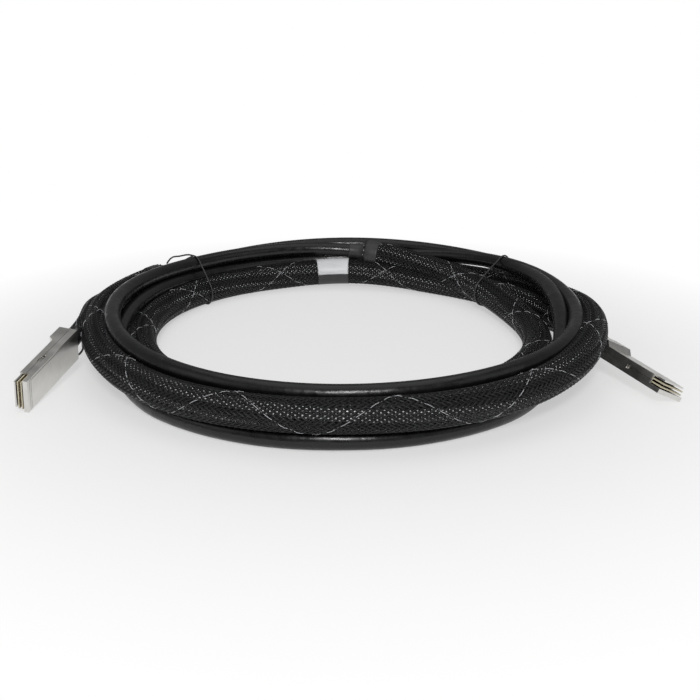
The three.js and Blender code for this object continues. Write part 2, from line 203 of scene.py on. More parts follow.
class CableSettings(bpy.types.PropertyGroup):
    """Sizes and colours of the cable"""

    sleeve_diameter: FloatProperty(
        name="Sleeve diameter", description="Outside of the braided sleeve",
        default=0.024, unit="LENGTH",
    )
    jacket_diameter: FloatProperty(
        name="Jacket diameter", description="Outside of the smooth jacket",
        default=0.013, unit="LENGTH",
    )
    neck_diameter: FloatProperty(
        name="Neck diameter", description="The sleeve where a boot grips it",
        default=0.0136, unit="LENGTH",
    )
    taper_length: FloatProperty(
        name="Taper length", description="How far from a boot the sleeve reaches its full size",
        default=0.075, unit="LENGTH",
    )
    braid_pitch: FloatProperty(
        name="Braid pitch", description="Length of one full turn of a strand of the braid",
        default=0.108, unit="LENGTH",
    )
    ribbons: IntProperty(
        name="Ribbons", description="Strands of the braid that turn each way", default=24,
    )
    ribbon_width: FloatProperty(
        name="Ribbon width", description="Width of one strand of the braid",
        default=0.00165, unit="LENGTH",
    )
    braid_colour: FloatVectorProperty(
        name="Braid colour", description="Colour of the braid's filaments",
        default=(0.0075, 0.0078, 0.0084), subtype="COLOR", size=3,
    )
    jacket_colour: FloatVectorProperty(
        name="Jacket colour", description="Colour of the smooth jacket",
        default=(0.0038, 0.0038, 0.0044), subtype="COLOR", size=3,
    )
    tracer_colour: FloatVectorProperty(
        name="Tracer colour", description="Colour of the tracer threads",
        default=(0.62, 0.63, 0.65), subtype="COLOR", size=3,
    )


class PlugSettings(bpy.types.PropertyGroup):
    """Finishes of the plugs"""

    shell_colour: FloatVectorProperty(
        name="Shell colour", description="Colour of the plated shells",
        default=(0.74, 0.73, 0.70), subtype="COLOR", size=3,
    )
    edge_radius: FloatProperty(
        name="Edge radius", description="Rounding of the shells' edges",
        default=0.00035, unit="LENGTH",
    )


class StageSettings(bpy.types.PropertyGroup):
    """Floor and light"""

    floor_colour: FloatVectorProperty(
        name="Floor colour", description="Colour of the floor",
        default=(0.90, 0.90, 0.90), subtype="COLOR", size=3,
    )
    key_power: FloatProperty(
        name="Key light", description="Power of the overhead softbox", default=5.0, unit="POWER",
    )
    front_power: FloatProperty(
        name="Front light", description="Power of the small light above the camera",
        default=11.0, unit="POWER",
    )
    fill_power: FloatProperty(
        name="Fill light", description="Power of each side softbox", default=1.1, unit="POWER",
    )


def coil_centre():
    """The coil's centre on the floor, from the CAD ring's box."""
    low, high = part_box("coil")
    return np.array([(low[0] + high[0]) / 2, (low[1] + high[1]) / 2, 0.0])


def joint_axis(name):
    """The direction in which a joint's body slides."""
    joint = next(j for j in frame["joints"] if j["name"] == name)
    return np.array(joint["axis"], float)


def smooth_curve(points, step):
    """Points step apart along a natural cubic spline through the given points."""
    points = np.asarray(points, float)
    span = np.linalg.norm(np.diff(points, axis=0), axis=1)
    knots = np.concatenate([[0], np.cumsum(span)])
    count = len(points)
    matrix = np.eye(count)
    right = np.zeros((count, 3))
    for i in range(1, count - 1):
        matrix[i, i - 1] = span[i - 1]
        matrix[i, i] = 2 * (span[i - 1] + span[i])
        matrix[i, i + 1] = span[i]
        slope_after = (points[i + 1] - points[i]) / span[i]
        slope_before = (points[i] - points[i - 1]) / span[i - 1]
        right[i] = 6 * (slope_after - slope_before)
    bend = np.linalg.solve(matrix, right)
    fine = np.linspace(0, knots[-1], int(knots[-1] / step) * 4 + 1)
    index = np.clip(np.searchsorted(knots, fine, side="right") - 1, 0, count - 2)
    length = span[index][:, None]
    after = (fine - knots[index])[:, None]
    before = length - after
    curve = (
        bend[index] * before**3 / (6 * length)
        + bend[index + 1] * after**3 / (6 * length)
        + (points[index] / length - bend[index] * length / 6) * before
        + (points[index + 1] / length - bend[index + 1] * length / 6) * after
    )
    run = np.concatenate([[0], np.cumsum(np.linalg.norm(np.diff(curve, axis=0), axis=1))])
    even = np.linspace(0, run[-1], max(2, round(run[-1] / step) + 1))
    return np.stack([np.interp(even, run, curve[:, k]) for k in range(3)], axis=1)


def on_coil(key):
    """The place of one key of the centre line."""
    angle, radius, height = math.radians(key[0]), key[1] * MM, key[2] * MM
    return coil_centre() + np.array([radius * math.cos(angle), radius * math.sin(angle), height])


def cable_route():
    """The whole centre line, from the left boot round the coil to the right boot."""
    left_axis = joint_axis("left_release_slide")
    right_axis = joint_axis("right_release_slide")
    left_exit, right_exit = np.array(LEFT_EXIT), np.array(RIGHT_EXIT)
    points = [left_exit, left_exit + left_axis * BOOT_RUN / 2, left_exit + left_axis * BOOT_RUN]
    points += [on_coil(key) for key in LEFT_SLEEVE_KEYS + TRUNK_KEYS + RIGHT_SLEEVE_KEYS]
    points += [right_exit + right_axis * BOOT_RUN, right_exit + right_axis * BOOT_RUN / 2, right_exit]
    return smooth_curve(coil_turns(points), ROUTE_STEP)


def coil_turns(points):
    """The same route with points every few degrees of each turn, radius and height blended."""
    centre = coil_centre()
    points = np.array(points)
    flat = points - centre
    radius = np.hypot(flat[:, 0], flat[:, 1])
    angle = np.unwrap(np.arctan2(flat[:, 1], flat[:, 0]))
    turn = np.stack([-angle, radius, points[:, 2]], axis=1)
    scaled = turn * np.array([SPLINE_RADIUS, 1.0, 1.0])
    dense = smooth_curve(scaled, SPLINE_RADIUS * SPLINE_TURN)
    bearing = -dense[:, 0] / SPLINE_RADIUS
    turned = np.degrees(bearing - bearing[0]) + LEFT_START_ANGLE
    smooth = (turned < LEFT_COLLAR_ANGLE) & (turned > RIGHT_COLLAR_ANGLE)
    dense[:, 2] = np.maximum(dense[:, 2], np.where(smooth, JACKET_SEAT, SLEEVE_SEAT))
    return np.stack(
        [
            centre[0] + dense[:, 1] * np.cos(bearing),
            centre[1] + dense[:, 1] * np.sin(bearing),
            dense[:, 2],
        ],
        axis=1,
    )


def turned_angles(route):
    """The angle round the coil at each point, in degrees, counted on through the turns."""
    flat = route - coil_centre()
    angles = np.degrees(np.unwrap(np.arctan2(flat[:, 1], flat[:, 0])))
    return angles + LEFT_START_ANGLE - angles[0]


class Line:
    """A centre line with a twist-free frame, that can be asked for any distance along it."""

    def __init__(self, points):
        self.points = np.asarray(points, float)
        step = np.linalg.norm(np.diff(self.points, axis=0), axis=1)
        self.run = np.concatenate([[0], np.cumsum(step)])
        self.length = float(self.run[-1])
        tangent = np.gradient(self.points, self.run, axis=0)
        self.tangent = tangent / np.linalg.norm(tangent, axis=1)[:, None]
        self.up = np.zeros_like(self.points)
        up = np.array([0.0, 0.0, 1.0])
        for i, along in enumerate(self.tangent):
            up = up - along * (up @ along)
            up = up / np.linalg.norm(up)
            self.up[i] = up
        self.across = np.cross(self.tangent, self.up)

    def pick(self, rows, run):
        """The rows' values at a distance along the line."""
        return np.stack([np.interp(run, self.run, rows[:, k]) for k in range(3)], axis=-1)

    def around(self, run, angle, radius):
        """Points at an angle and a radius round the line; before and past its ends it goes straight."""
        centre, up, across = (self.pick(rows, run) for rows in (self.points, self.up, self.across))
        past = np.clip(run, None, 0) + np.clip(run - self.length, 0, None)
        end = np.where((run > self.length)[..., None], self.tangent[-1], self.tangent[0])
        ring = np.cos(angle)[..., None] * up + np.sin(angle)[..., None] * across
        return centre + end * past[..., None] + ring * np.asarray(radius)[..., None]


def new_piece(name, shape, material):
    """A smooth mesh object on the root body, from vertices, faces and one UV pair a vertex."""
    vertices, faces, uv = shape
    mesh = bpy.data.meshes.new(name)
    vertices = np.asarray(vertices, np.float32)
    faces = np.asarray(faces, np.int32)
    mesh.vertices.add(len(vertices))
    mesh.vertices.foreach_set("co", vertices.ravel())
    corners = faces.shape[1]
    mesh.loops.add(faces.size)
    mesh.loops.foreach_set("vertex_index", faces.ravel())
    mesh.polygons.add(len(faces))
    mesh.polygons.foreach_set("loop_start", np.arange(0, faces.size, corners, dtype=np.int32))
    layer = mesh.uv_layers.new(name="Run")
    layer.data.foreach_set("uv", np.asarray(uv, np.float32)[faces.ravel()].ravel())
    mesh.update(calc_edges=True)
    mesh.validate()
    mesh.polygons.foreach_set("use_smooth", np.full(len(mesh.polygons), True))
    piece = bpy.data.objects.new(name, mesh)
    bpy.context.scene.collection.objects.link(piece)
    mesh.materials.append(material)
    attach(piece, "cable")
    return piece


def tube_mesh(line, runs, radii, sides):
    """Vertices, quads and UV pairs of a round tube whose ends close to a point on the line."""
    radii = np.broadcast_to(radii, runs.shape)
    runs = np.concatenate([[runs[0]], runs, [runs[-1]]])
    radii = np.concatenate([[1e-5], radii, [1e-5]])
    turn = np.linspace(0, 2 * math.pi, sides, endpoint=False)
    grid_run, grid_turn = np.meshgrid(runs, turn, indexing="ij")
    vertices = line.around(grid_run, grid_turn, np.repeat(radii[:, None], sides, axis=1))
    uv = np.stack([grid_run, grid_turn / (2 * math.pi)], axis=-1)
    faces = grid_faces(len(runs), sides)
    return vertices.reshape(-1, 3), faces, uv.reshape(-1, 2)


def grid_faces(rows, sides):
    """Quads joining rows of points that close on themselves."""
    i, j = np.meshgrid(np.arange(rows - 1), np.arange(sides), indexing="ij")
    k = (j + 1) % sides
    quads = np.stack([i * sides + j, (i + 1) * sides + j, (i + 1) * sides + k, i * sides + k], axis=-1)
    return quads.reshape(-1, 4)


def joined(parts):
    """Several (vertices, faces, uv) sets as one."""
    vertices, faces, uv, start = [], [], [], 0
    for part in parts:
        vertices.append(part[0])
        faces.append(part[1] + start)
        uv.append(part[2])
        start += len(part[0])
    return np.concatenate(vertices), np.concatenate(faces), np.concatenate(uv)


def nodes_of(name):
    """A new node material, its tree and its shader."""
    material = bpy.data.materials.new(name)
    material.use_nodes = True
    tree = material.node_tree
    return material, tree, tree.nodes["Principled BSDF"]


def link(tree, source, target):
    tree.links.new(source, target)


def noise_field(tree, coordinates, scale, detail=4.0, stretch=(1, 1, 1)):
    """A noise texture on object, generated or UV coordinates."""
    source = tree.nodes.new("ShaderNodeTexCoord")
    mapping = tree.nodes.new("ShaderNodeMapping")
    mapping.inputs["Scale"].default_value = stretch
    noise = tree.nodes.new("ShaderNodeTexNoise")
    noise.inputs["Scale"].default_value = scale
    noise.inputs["Detail"].default_value = detail
    link(tree, source.outputs[coordinates], mapping.inputs["Vector"])
    link(tree, mapping.outputs["Vector"], noise.inputs["Vector"])
    return noise.outputs["Fac"]


def wave_field(tree, scale, direction):
    """A banded texture on the UV map."""
    source = tree.nodes.new("ShaderNodeTexCoord")
    wave = tree.nodes.new("ShaderNodeTexWave")
    wave.bands_direction = direction
    wave.inputs["Scale"].default_value = scale
    link(tree, source.outputs["UV"], wave.inputs["Vector"])
    return wave.outputs["Fac"]


def ramp(tree, field, low, high, start=0.3, end=0.7):
    """A value that goes from low to high while the field goes from start to end."""
    node = tree.nodes.new("ShaderNodeMapRange")
    node.inputs["From Min"].default_value = start
    node.inputs["From Max"].default_value = end
    node.inputs["To Min"].default_value = low
    node.inputs["To Max"].default_value = high
    link(tree, field, node.inputs["Value"])
    return node.outputs["Result"]


def colour_mix(tree, field, first, second):
    """A colour between two, by the field."""
    node = tree.nodes.new("ShaderNodeValToRGB")
    node.color_ramp.elements[0].position = 0.3
    node.color_ramp.elements[1].position = 0.7
    node.color_ramp.elements[0].color = (*first, 1)
    node.color_ramp.elements[1].color = (*second, 1)
    link(tree, field, node.inputs["Fac"])
    return node.outputs["Color"]


def bump(tree, field, strength, distance, under=None):
    """A bumped normal from the field, on top of another normal where one is given."""
    node = tree.nodes.new("ShaderNodeBump")
    node.inputs["Strength"].default_value = strength
    node.inputs["Distance"].default_value = distance
    link(tree, field, node.inputs["Height"])
    if under is not None:
        link(tree, under, node.inputs["Normal"])
    return node.outputs["Normal"]


def shade(colour, share):
    """The colour made darker or lighter."""
    return tuple(min(1.0, c * share) for c in colour)


def braid_material(colour):
    material, tree, shader = nodes_of("Woven filaments")
    tone = noise_field(tree, "Object", 60)
    mixed = colour_mix(tree, tone, shade(colour, 0.75), shade(colour, 1.35))
    link(tree, mixed, shader.inputs["Base Color"])
    link(tree, ramp(tree, tone, 0.30, 0.46), shader.inputs["Roughness"])
    filament = wave_field(tree, 1.05, "Y")
    link(tree, bump(tree, filament, 0.5, 0.00012), shader.inputs["Normal"])
    shader.inputs["Specular IOR Level"].default_value = 0.4
    return material


def tracer_material(colour):
    material, tree, shader = nodes_of("Tracer thread")
    tone = noise_field(tree, "Object", 700)
    link(tree, colour_mix(tree, tone, shade(colour, 0.8), colour), shader.inputs["Base Color"])
    link(tree, bump(tree, tone, 0.4, 0.0001), shader.inputs["Normal"])
    shader.inputs["Roughness"].default_value = 0.5
    return material


def jacket_material(colour):
    material, tree, shader = nodes_of("Smooth jacket")
    tone = noise_field(tree, "Object", 22)
    mixed = colour_mix(tree, tone, shade(colour, 0.8), shade(colour, 1.5))
    link(tree, mixed, shader.inputs["Base Color"])
    sheen = noise_field(tree, "Object", 140)
    link(tree, ramp(tree, sheen, 0.20, 0.38), shader.inputs["Roughness"])
    wrinkle = noise_field(tree, "Object", 60, 3.0)
    first = bump(tree, wrinkle, 0.55, 0.0014)
    link(tree, bump(tree, sheen, 0.12, 0.0004, first), shader.inputs["Normal"])
    return material


def wire_material(name, low, high):
    material, tree, shader = nodes_of(name)
    tone = noise_field(tree, "Object", 90)
    link(tree, colour_mix(tree, tone, low, high), shader.inputs["Base Color"])
    shader.inputs["Roughness"].default_value = 0.28
    link(tree, bump(tree, tone, 0.2, 0.0002), shader.inputs["Normal"])
    return material


def shrink_material():
    material, tree, shader = nodes_of("Heat shrink")
    tone = noise_field(tree, "Object", 50)
    mixed = colour_mix(tree, tone, (0.028, 0.028, 0.03), (0.05, 0.05, 0.053))
    link(tree, mixed, shader.inputs["Base Color"])
    link(tree, ramp(tree, tone, 0.36, 0.52), shader.inputs["Roughness"])
    crease = noise_field(tree, "UV", 12.0, 3.0, (20, 1, 1))
    link(tree, bump(tree, crease, 0.3, 0.0006), shader.inputs["Normal"])
    return material


def film_material():
    material, tree, shader = nodes_of("Label film")
    tone = noise_field(tree, "Object", 45)
    mixed = colour_mix(tree, tone, (0.74, 0.75, 0.77), (0.84, 0.85, 0.86))
    link(tree, mixed, shader.inputs["Base Color"])
    link(tree, ramp(tree, tone, 0.32, 0.45), shader.inputs["Roughness"])
    link(tree, bump(tree, noise_field(tree, "Object", 120), 0.15, 0.0005), shader.inputs["Normal"])
    return material


def plated_material(name, colour, rough_low, rough_high):
    """Brushed plating: fine lines along the plug, soft blotches and smudges."""
    material, tree, shader = nodes_of(name)
    blotch = noise_field(tree, "Object", 70)
    tone = colour_mix(tree, blotch, shade(colour, 0.88), shade(colour, 1.06))
    link(tree, tone, shader.inputs["Base Color"])
    lines = noise_field(tree, "Object", 900, 2.0, (1, 0.06, 1))
    link(tree, ramp(tree, blotch, rough_low, rough_high), shader.inputs["Roughness"])
    link(tree, bump(tree, lines, 0.18, 0.0002), shader.inputs["Normal"])
    shader.inputs["Metallic"].default_value = 1.0
    return material


def plastic_material(name, low, high, roughness):
    material, tree, shader = nodes_of(name)
    tone = noise_field(tree, "Object", 160)
    link(tree, colour_mix(tree, tone, low, high), shader.inputs["Base Color"])
    link(tree, ramp(tree, tone, roughness * 0.85, roughness * 1.15), shader.inputs["Roughness"])
    link(tree, bump(tree, noise_field(tree, "Object", 1500), 0.2, 0.0001), shader.inputs["Normal"])
    return material


def split_route():
    """The centre line cut at the two collars: left sleeve, trunk and right sleeve."""
    route = cable_route()
    angles = turned_angles(route)
    first = int(np.argmax(angles <= LEFT_COLLAR_ANGLE))
    second = int(np.argmax(angles <= RIGHT_COLLAR_ANGLE))
    return Line(route[: first + 1]), Line(route[first : second + 1]), Line(route[second:])


def sleeve_scale(settings, run):
    """How full the sleeve is at a distance from its boot, from the neck to its full radius."""
    share = np.clip(run / settings.taper_length, 0, 1)
    share = share * share * (3 - 2 * share)
    neck = settings.neck_diameter / settings.sleeve_diameter
    return neck + (1 - neck) * share


def braid_parts(settings, line, from_boot, phase):
    """The ribbons of one braid and its two tracer threads, woven two over and two under."""
    count, pitch = settings.ribbons, settings.braid_pitch
    cell = pitch / (2 * count)
    outside = settings.sleeve_diameter / 2
    slant = math.atan(math.pi * settings.sleeve_diameter / pitch)
    edge_radius = outside - BRAID_CROWN - BRAID_LIFT
    half = settings.ribbon_width / 2
    steps = np.arange(0, math.floor(line.length / cell) + 1)
    run = steps * cell
    ribbons, tracers = [], []
    for hand in (1, -1):
        for k in range(count):
            weave = np.cos(math.pi / 2 * (hand * steps + 2 * k) + math.pi / 4) * hand * WEAVE_GAIN
            turn = phase + 2 * math.pi * k / count + hand * 2 * math.pi * run / pitch
            rows = []
            for place, rise in ((-1, 0.0), (0, BRAID_CROWN), (1, 0.0)):
                along = np.clip(run - hand * place * half * math.sin(slant), 0, line.length)
                full = sleeve_scale(settings, from_boot(along))
                angle = turn + place * half * math.cos(slant) / outside
                radius = (edge_radius + rise + BRAID_LIFT * weave) * full
                rows.append(line.around(along, angle, radius))
            vertices = np.stack(rows, axis=1)
            uv = np.stack(
                [np.repeat(run[:, None], 3, axis=1), np.tile([0.0, 1.0, 2.0], (len(run), 1))], axis=-1
            )
            ribbons.append((vertices.reshape(-1, 3), grid_faces(len(run), 3), uv.reshape(-1, 2)))
            if k == 0:
                tracers.append(tracer_part(settings, line, from_boot, run, turn, weave))
    return ribbons, tracers


def tracer_part(settings, line, from_boot, run, turn, weave):
    """One thin thread that lies on a ribbon and dives under with it."""
    full = sleeve_scale(settings, from_boot(run))
    radius = (settings.sleeve_diameter / 2 - TRACER_DEPTH + TRACER_LIFT * weave) * full
    thread = Line(line.around(run, turn, radius))
    return tube_mesh(thread, thread.run, TRACER_RADIUS, 5)


def bundle_parts(settings, line, from_boot, pairs):
    """Some of the insulated pairs inside a sleeve, laid round its core."""
    runs = np.append(np.arange(0, line.length, PAIR_STEP), line.length)
    full = sleeve_scale(settings, from_boot(runs))
    ring = settings.sleeve_diameter / 2 - PAIR_DEPTH
    parts = []
    for k in pairs:
        turn = 2 * math.pi * k / PAIR_COUNT + 2 * math.pi * runs / PAIR_LAY
        pair = Line(line.around(runs, turn, ring * full))
        parts.append(tube_mesh(pair, pair.run, PAIR_RADIUS * full, 7))
    return parts


class CABLE_OT_sleeves(bpy.types.Operator):
    """Weave the two braided sleeves with their tracers and the pairs inside them"""

    bl_idname = "cable.sleeves"
    bl_label = "Braided sleeves"

    def execute(self, context):
        settings = context.scene.cable_settings
        left, _, right = split_route()
        woven = braid_material(tuple(settings.braid_colour))
        thread = tracer_material(tuple(settings.tracer_colour))
        # The white pairs' material is a painted glint through the braid; the black pairs' material, also
        # used on the core, is painted shade
        bright = wire_material("Bright pairs", (0.80, 0.81, 0.83), (0.92, 0.93, 0.94))
        dark = wire_material("Dark pairs", (0.02, 0.02, 0.022), (0.04, 0.04, 0.042))
        plans = (
            ("left", left, lambda run: run, "fitting", ["left_shrink_collar"]),
            ("right", right, lambda run: right.length - run, "object", []),
        )
        for side, line, from_boot, far_end, collars in plans:
            ribbons, tracers = braid_parts(settings, line, from_boot, BRAID_PHASE[side])
            braid = new_piece(f"{side}_sleeve_braid", joined(ribbons), woven)
            pieces = [new_piece(f"{side}_tracers", joined(tracers), thread)]
            for name, pairs, finish in (("bright", GLINT_PAINTED_PAIRS, bright), ("dark", SHADE_PAINTED_PAIRS, dark)):
                bundle = joined(bundle_parts(settings, line, from_boot, pairs))
                pieces.append(new_piece(f"{side}_{name}_pairs", bundle, finish))
            runs = np.linspace(0, line.length, int(line.length / CORE_STEP))
            core = tube_mesh(line, runs, CORE_RADIUS * sleeve_scale(settings, from_boot(runs)), 10)
            pieces.append(new_piece(f"{side}_core", core, dark))
            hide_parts("coil")
            if side == "left":
                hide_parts("left_lead")
        return {"FINISHED"}


class CABLE_OT_trunk(bpy.types.Operator):
    """Lay the smooth jacketed trunk between the two sleeves"""

    bl_idname = "cable.trunk"
    bl_label = "Smooth trunk"

    def execute(self, context):
        settings = context.scene.cable_settings
        _, trunk, _ = split_route()
        runs = np.linspace(0, trunk.length, int(trunk.length / JACKET_STEP))
        shape = tube_mesh(trunk, runs, settings.jacket_diameter / 2, 24)
        material = jacket_material(tuple(settings.jacket_colour))
        piece = new_piece("trunk_jacket", shape, material)
        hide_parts("coil")
        return {"FINISHED"}


def run_at(line, angle):
    """The distance along the centre line at which it has turned to an angle."""
    return float(line.run[int(np.argmax(turned_angles(line.points) <= angle))])


def collar_piece(name, node, line, middle, radii, material):
    """A shrunk sleeve round the cable where a braid ends, with its step and soft lips."""
    share = np.array(COLLAR_SHARES)
    runs = middle - COLLAR_LENGTH / 2 + share * COLLAR_LENGTH
    radius = np.interp(share, (0, 0.4, 0.6, 1), radii)
    ridge = COLLAR_RIDGE * np.exp(-(((share - 0.5) / 0.05) ** 2))
    lip = np.where((share == 0) | (share == 1), -COLLAR_LIP, 0.0)
    piece = new_piece(name, tube_mesh(line, runs, radius + ridge + lip, 28), material)
    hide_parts(node)


class CABLE_OT_collars(bpy.types.Operator):
    """Shrink a collar over each end of the trunk, and wrap the bare label"""

    bl_idname = "cable.collars"
    bl_label = "Collars and label"

    def execute(self, context):
        settings = context.scene.cable_settings
        route = Line(cable_route())
        shrunk = shrink_material()
        outside = settings.sleeve_diameter / 2
        wide = outside + COLLAR_ON_SLEEVE
        narrow = settings.jacket_diameter / 2 + COLLAR_ON_JACKET
        collar_piece("left_shrink_collar", "left_collar", route, run_at(route, LEFT_COLLAR_ANGLE),
                     (wide, wide, narrow, narrow), shrunk)
        collar_piece("right_shrink_collar", "right_collar", route, run_at(route, RIGHT_COLLAR_ANGLE),
                     (narrow, narrow, wide, wide), shrunk)
        runs = run_at(route, LABEL_ANGLE) + np.linspace(-LABEL_REACH, LABEL_REACH, 17)
        wrap = tube_mesh(route, runs, outside + WRAP_GAP, 40)
        film = new_piece("label_wrap", wrap, shrunk)
        patch = patch_mesh(route, runs, outside + LABEL_GAP, LABEL_THICKNESS, LABEL_TURN)
        label = new_piece("bare_label", patch, film_material())
        label.parent = film
        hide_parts("label")
        return {"FINISHED"}


def patch_mesh(line, runs, inner, thick, turn):
    """A thin closed plate bent round the line, over part of its circumference."""
    angles = np.linspace(turn[0], turn[1], 25)
    grid_run, grid_turn = np.meshgrid(runs, angles, indexing="ij")
    wave = LABEL_WAVE * np.sin(grid_run * 400) * np.sin(grid_turn * 3)
    low = line.around(grid_run, grid_turn, np.full(grid_run.shape, inner))
    high = line.around(grid_run, grid_turn, inner + thick + wave)
    rows, across = grid_run.shape
    ring = np.concatenate([high, low[:, ::-1]], axis=1)
    uv = np.stack([grid_run, grid_turn], axis=-1)
    uv = np.concatenate([uv, uv[:, ::-1]], axis=1).reshape(-1, 2)
    faces = grid_faces(rows, 2 * across)
    ends = []
    for row, order in ((0, 1), (rows - 1, -1)):
        for j in range(across - 1):
            quad = [row * 2 * across + j, row * 2 * across + j + 1,
                    row * 2 * across + 2 * across - 2 - j, row * 2 * across + 2 * across - 1 - j]
            ends.append(quad[::order])
    return ring.reshape(-1, 3), np.concatenate([faces, np.array(ends)]), uv


def sections_at(route, angle):
    """Radius, height and half thickness of every strand where the coil crosses a bearing."""
    settings = bpy.context.scene.cable_settings
    angles = turned_angles(route)
    centre = coil_centre()
    found = []
    for turn in range(-3, 5):
        target = angle - 360 * turn
        if not angles[-1] < target < angles[0]:
            continue
        i = int(np.argmax(angles <= target))
        smooth = RIGHT_COLLAR_ANGLE < target < LEFT_COLLAR_ANGLE
        thick = settings.jacket_diameter if smooth else settings.sleeve_diameter
        flat = route[i] - centre
        found.append((math.hypot(flat[0], flat[1]), flat[2], thick / 2))
    return found


def hull_of(circles, clearance):
    """The outline of a band pulled tight round circles, as (radius, height) points."""
    turn = np.linspace(0, 2 * math.pi, 40, endpoint=False)
    cloud = np.concatenate([
        np.stack([r + (t + clearance) * np.cos(turn), z + (t + clearance) * np.sin(turn)], axis=1)
        for r, z, t in circles
    ])
    cloud[:, 1] = np.maximum(cloud[:, 1], 2 * clearance)
    cloud = cloud[np.lexsort((cloud[:, 1], cloud[:, 0]))]
    chains = []
    for ordered in (cloud, cloud[::-1]):
        chain = []
        for point in ordered:
            while len(chain) > 1:
                first, second = chain[-1] - chain[-2], point - chain[-1]
                if first[0] * second[1] - first[1] * second[0] > 1e-12:
                    break
                chain.pop()
            chain.append(point)
        chains.append(chain[:-1])
    return np.array(chains[0] + chains[1])


class CABLE_OT_ties(bpy.types.Operator):
    """Bind the coil with two thin ties, one of them with a loose tail"""

    bl_idname = "cable.ties"
    bl_label = "Ties"

    def execute(self, context):
        material = shrink_material()
        centre = coil_centre()
        route = cable_route()
        for side, angle, tail in TIES:
            bearing = math.radians(angle)
            out = np.array([math.cos(bearing), math.sin(bearing), 0.0])
            outline = hull_of(sections_at(route, angle), TIE_CLEARANCE)
            loop = centre + outline[:, :1] * out + outline[:, 1:] * np.array([0, 0, 1.0])
            band = smooth_curve(np.concatenate([loop, loop[:1]]), TIE_STEP)
            band[:, 2] = np.maximum(band[:, 2], TIE_RADIUS)
            thread = Line(band)
            parts = [tube_mesh(thread, thread.run, TIE_RADIUS, 8)]
            if tail:
                top = loop[int(np.argmax(loop[:, 2]))]
                along = np.array([-out[1], out[0], 0.0])
                trail = [top + out * a + along * b + np.array([0, 0, c]) for a, b, c in TIE_TAIL]
                free = Line(smooth_curve(trail, 0.003))
                parts.append(tube_mesh(free, free.run, TIE_RADIUS, 8))
            piece = new_piece(f"{side}_lace", joined(parts), material)
            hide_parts(f"{side}_tie")
        return {"FINISHED"}


def rounded_shell(node, radius, material):
    """A copy of a shell with its edges rounded, that stands for the CAD shell."""
    piece = bpy.data.objects.new(f"{node}_rounded", cad_object(node).data.copy())
    bpy.context.scene.collection.objects.link(piece)
    mesh = bmesh.new()
    mesh.from_mesh(piece.data)
    bmesh.ops.remove_doubles(mesh, verts=mesh.verts, dist=MERGE_DISTANCE)
    bmesh.ops.dissolve_limit(mesh, angle_limit=FLAT_ANGLE, verts=mesh.verts, edges=mesh.edges)
    mesh.to_mesh(piece.data)
    mesh.free()
    bevel = piece.modifiers.new("Edges", "BEVEL")
    bevel.width = radius
    bevel.segments = 2
    bevel.limit_method = "ANGLE"
    bevel.angle_limit = EDGE_ANGLE
    piece.data.materials.clear()
    piece.data.materials.append(material)
    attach(piece, "cable")
    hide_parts(node)


class CABLE_OT_plugs(bpy.types.Operator):
    """Give the shells, cards, boots, latches and screws of both plugs their finishes"""

    bl_idname = "cable.plugs"
    bl_label = "Plugs"

    def execute(self, context):
        settings = context.scene.plug_settings
        shell = plated_material("Brushed plating", tuple(settings.shell_colour), 0.28, 0.42)
        finishes = {
            "resin": plastic_material("Black resin", (0.02, 0.02, 0.02), (0.035, 0.035, 0.035), 0.5),
            "potting": plastic_material("Potting", (0.02, 0.02, 0.02), (0.035, 0.035, 0.035), 0.5),
            "copper": plated_material("Crimp copper", (0.62, 0.36, 0.22), 0.3, 0.45),
            "rubber": plastic_material("Boot rubber", (0.018, 0.018, 0.019), (0.03, 0.03, 0.032), 0.42),
            "sprung": plated_material("Sprung steel", (0.56, 0.55, 0.52), 0.3, 0.42),
            "nylon": plastic_material("Loop nylon", (0.012, 0.012, 0.012), (0.022, 0.022, 0.022), 0.35),
            "screw": plated_material("Screw steel", (0.42, 0.41, 0.40), 0.3, 0.42),
        }
        for side in ("left", "right"):
            finishes["card"] = card_material(f"{side.capitalize()} card", PLUG_FACING[side])
            for name, finish in PLUG_FINISHES:
                paint(f"{side}_{name}", finishes[finish])
            for name in ("lower_shell", "upper_shell"):
                rounded_shell(f"{side}_{name}", settings.edge_radius, shell)
        return {"FINISHED"}


def card_material(name, facing):
    """Pale board edges, and gold pads darkened with painted shade on the two wide faces."""
    material, tree, shader = nodes_of(name)
    source = tree.nodes.new("ShaderNodeNewGeometry")
    turned = tree.nodes.new("ShaderNodeVectorMath")
    turned.operation = "DOT_PRODUCT"
    turned.inputs[1].default_value = facing
    link(tree, source.outputs["Normal"], turned.inputs[0])
    flat = tree.nodes.new("ShaderNodeMath")
    flat.operation = "ABSOLUTE"
    link(tree, turned.outputs["Value"], flat.inputs[0])
    # The wide faces get the pads' gold darkened as painted shade; the edges keep the board's own pale
    # colour
    mixed = colour_mix(tree, flat.outputs["Value"], CARD_EDGE, CARD_GOLD_PAINTED_SHADE)
    link(tree, mixed, shader.inputs["Base Color"])
    grain = noise_field(tree, "Object", 800)
    link(tree, ramp(tree, grain, 0.3, 0.5), shader.inputs["Roughness"])
    link(tree, bump(tree, grain, 0.2, 0.0001), shader.inputs["Normal"])
    return material


def cad_object(node):
    """The scene's object for a node of the frame."""
    return next(o for o in bpy.context.scene.objects if o.get("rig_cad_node") == node)


def paint(node, material):
    """Give a CAD piece its finish."""
    piece = cad_object(node)
    piece.data.materials.clear()
    piece.data.materials.append(material)


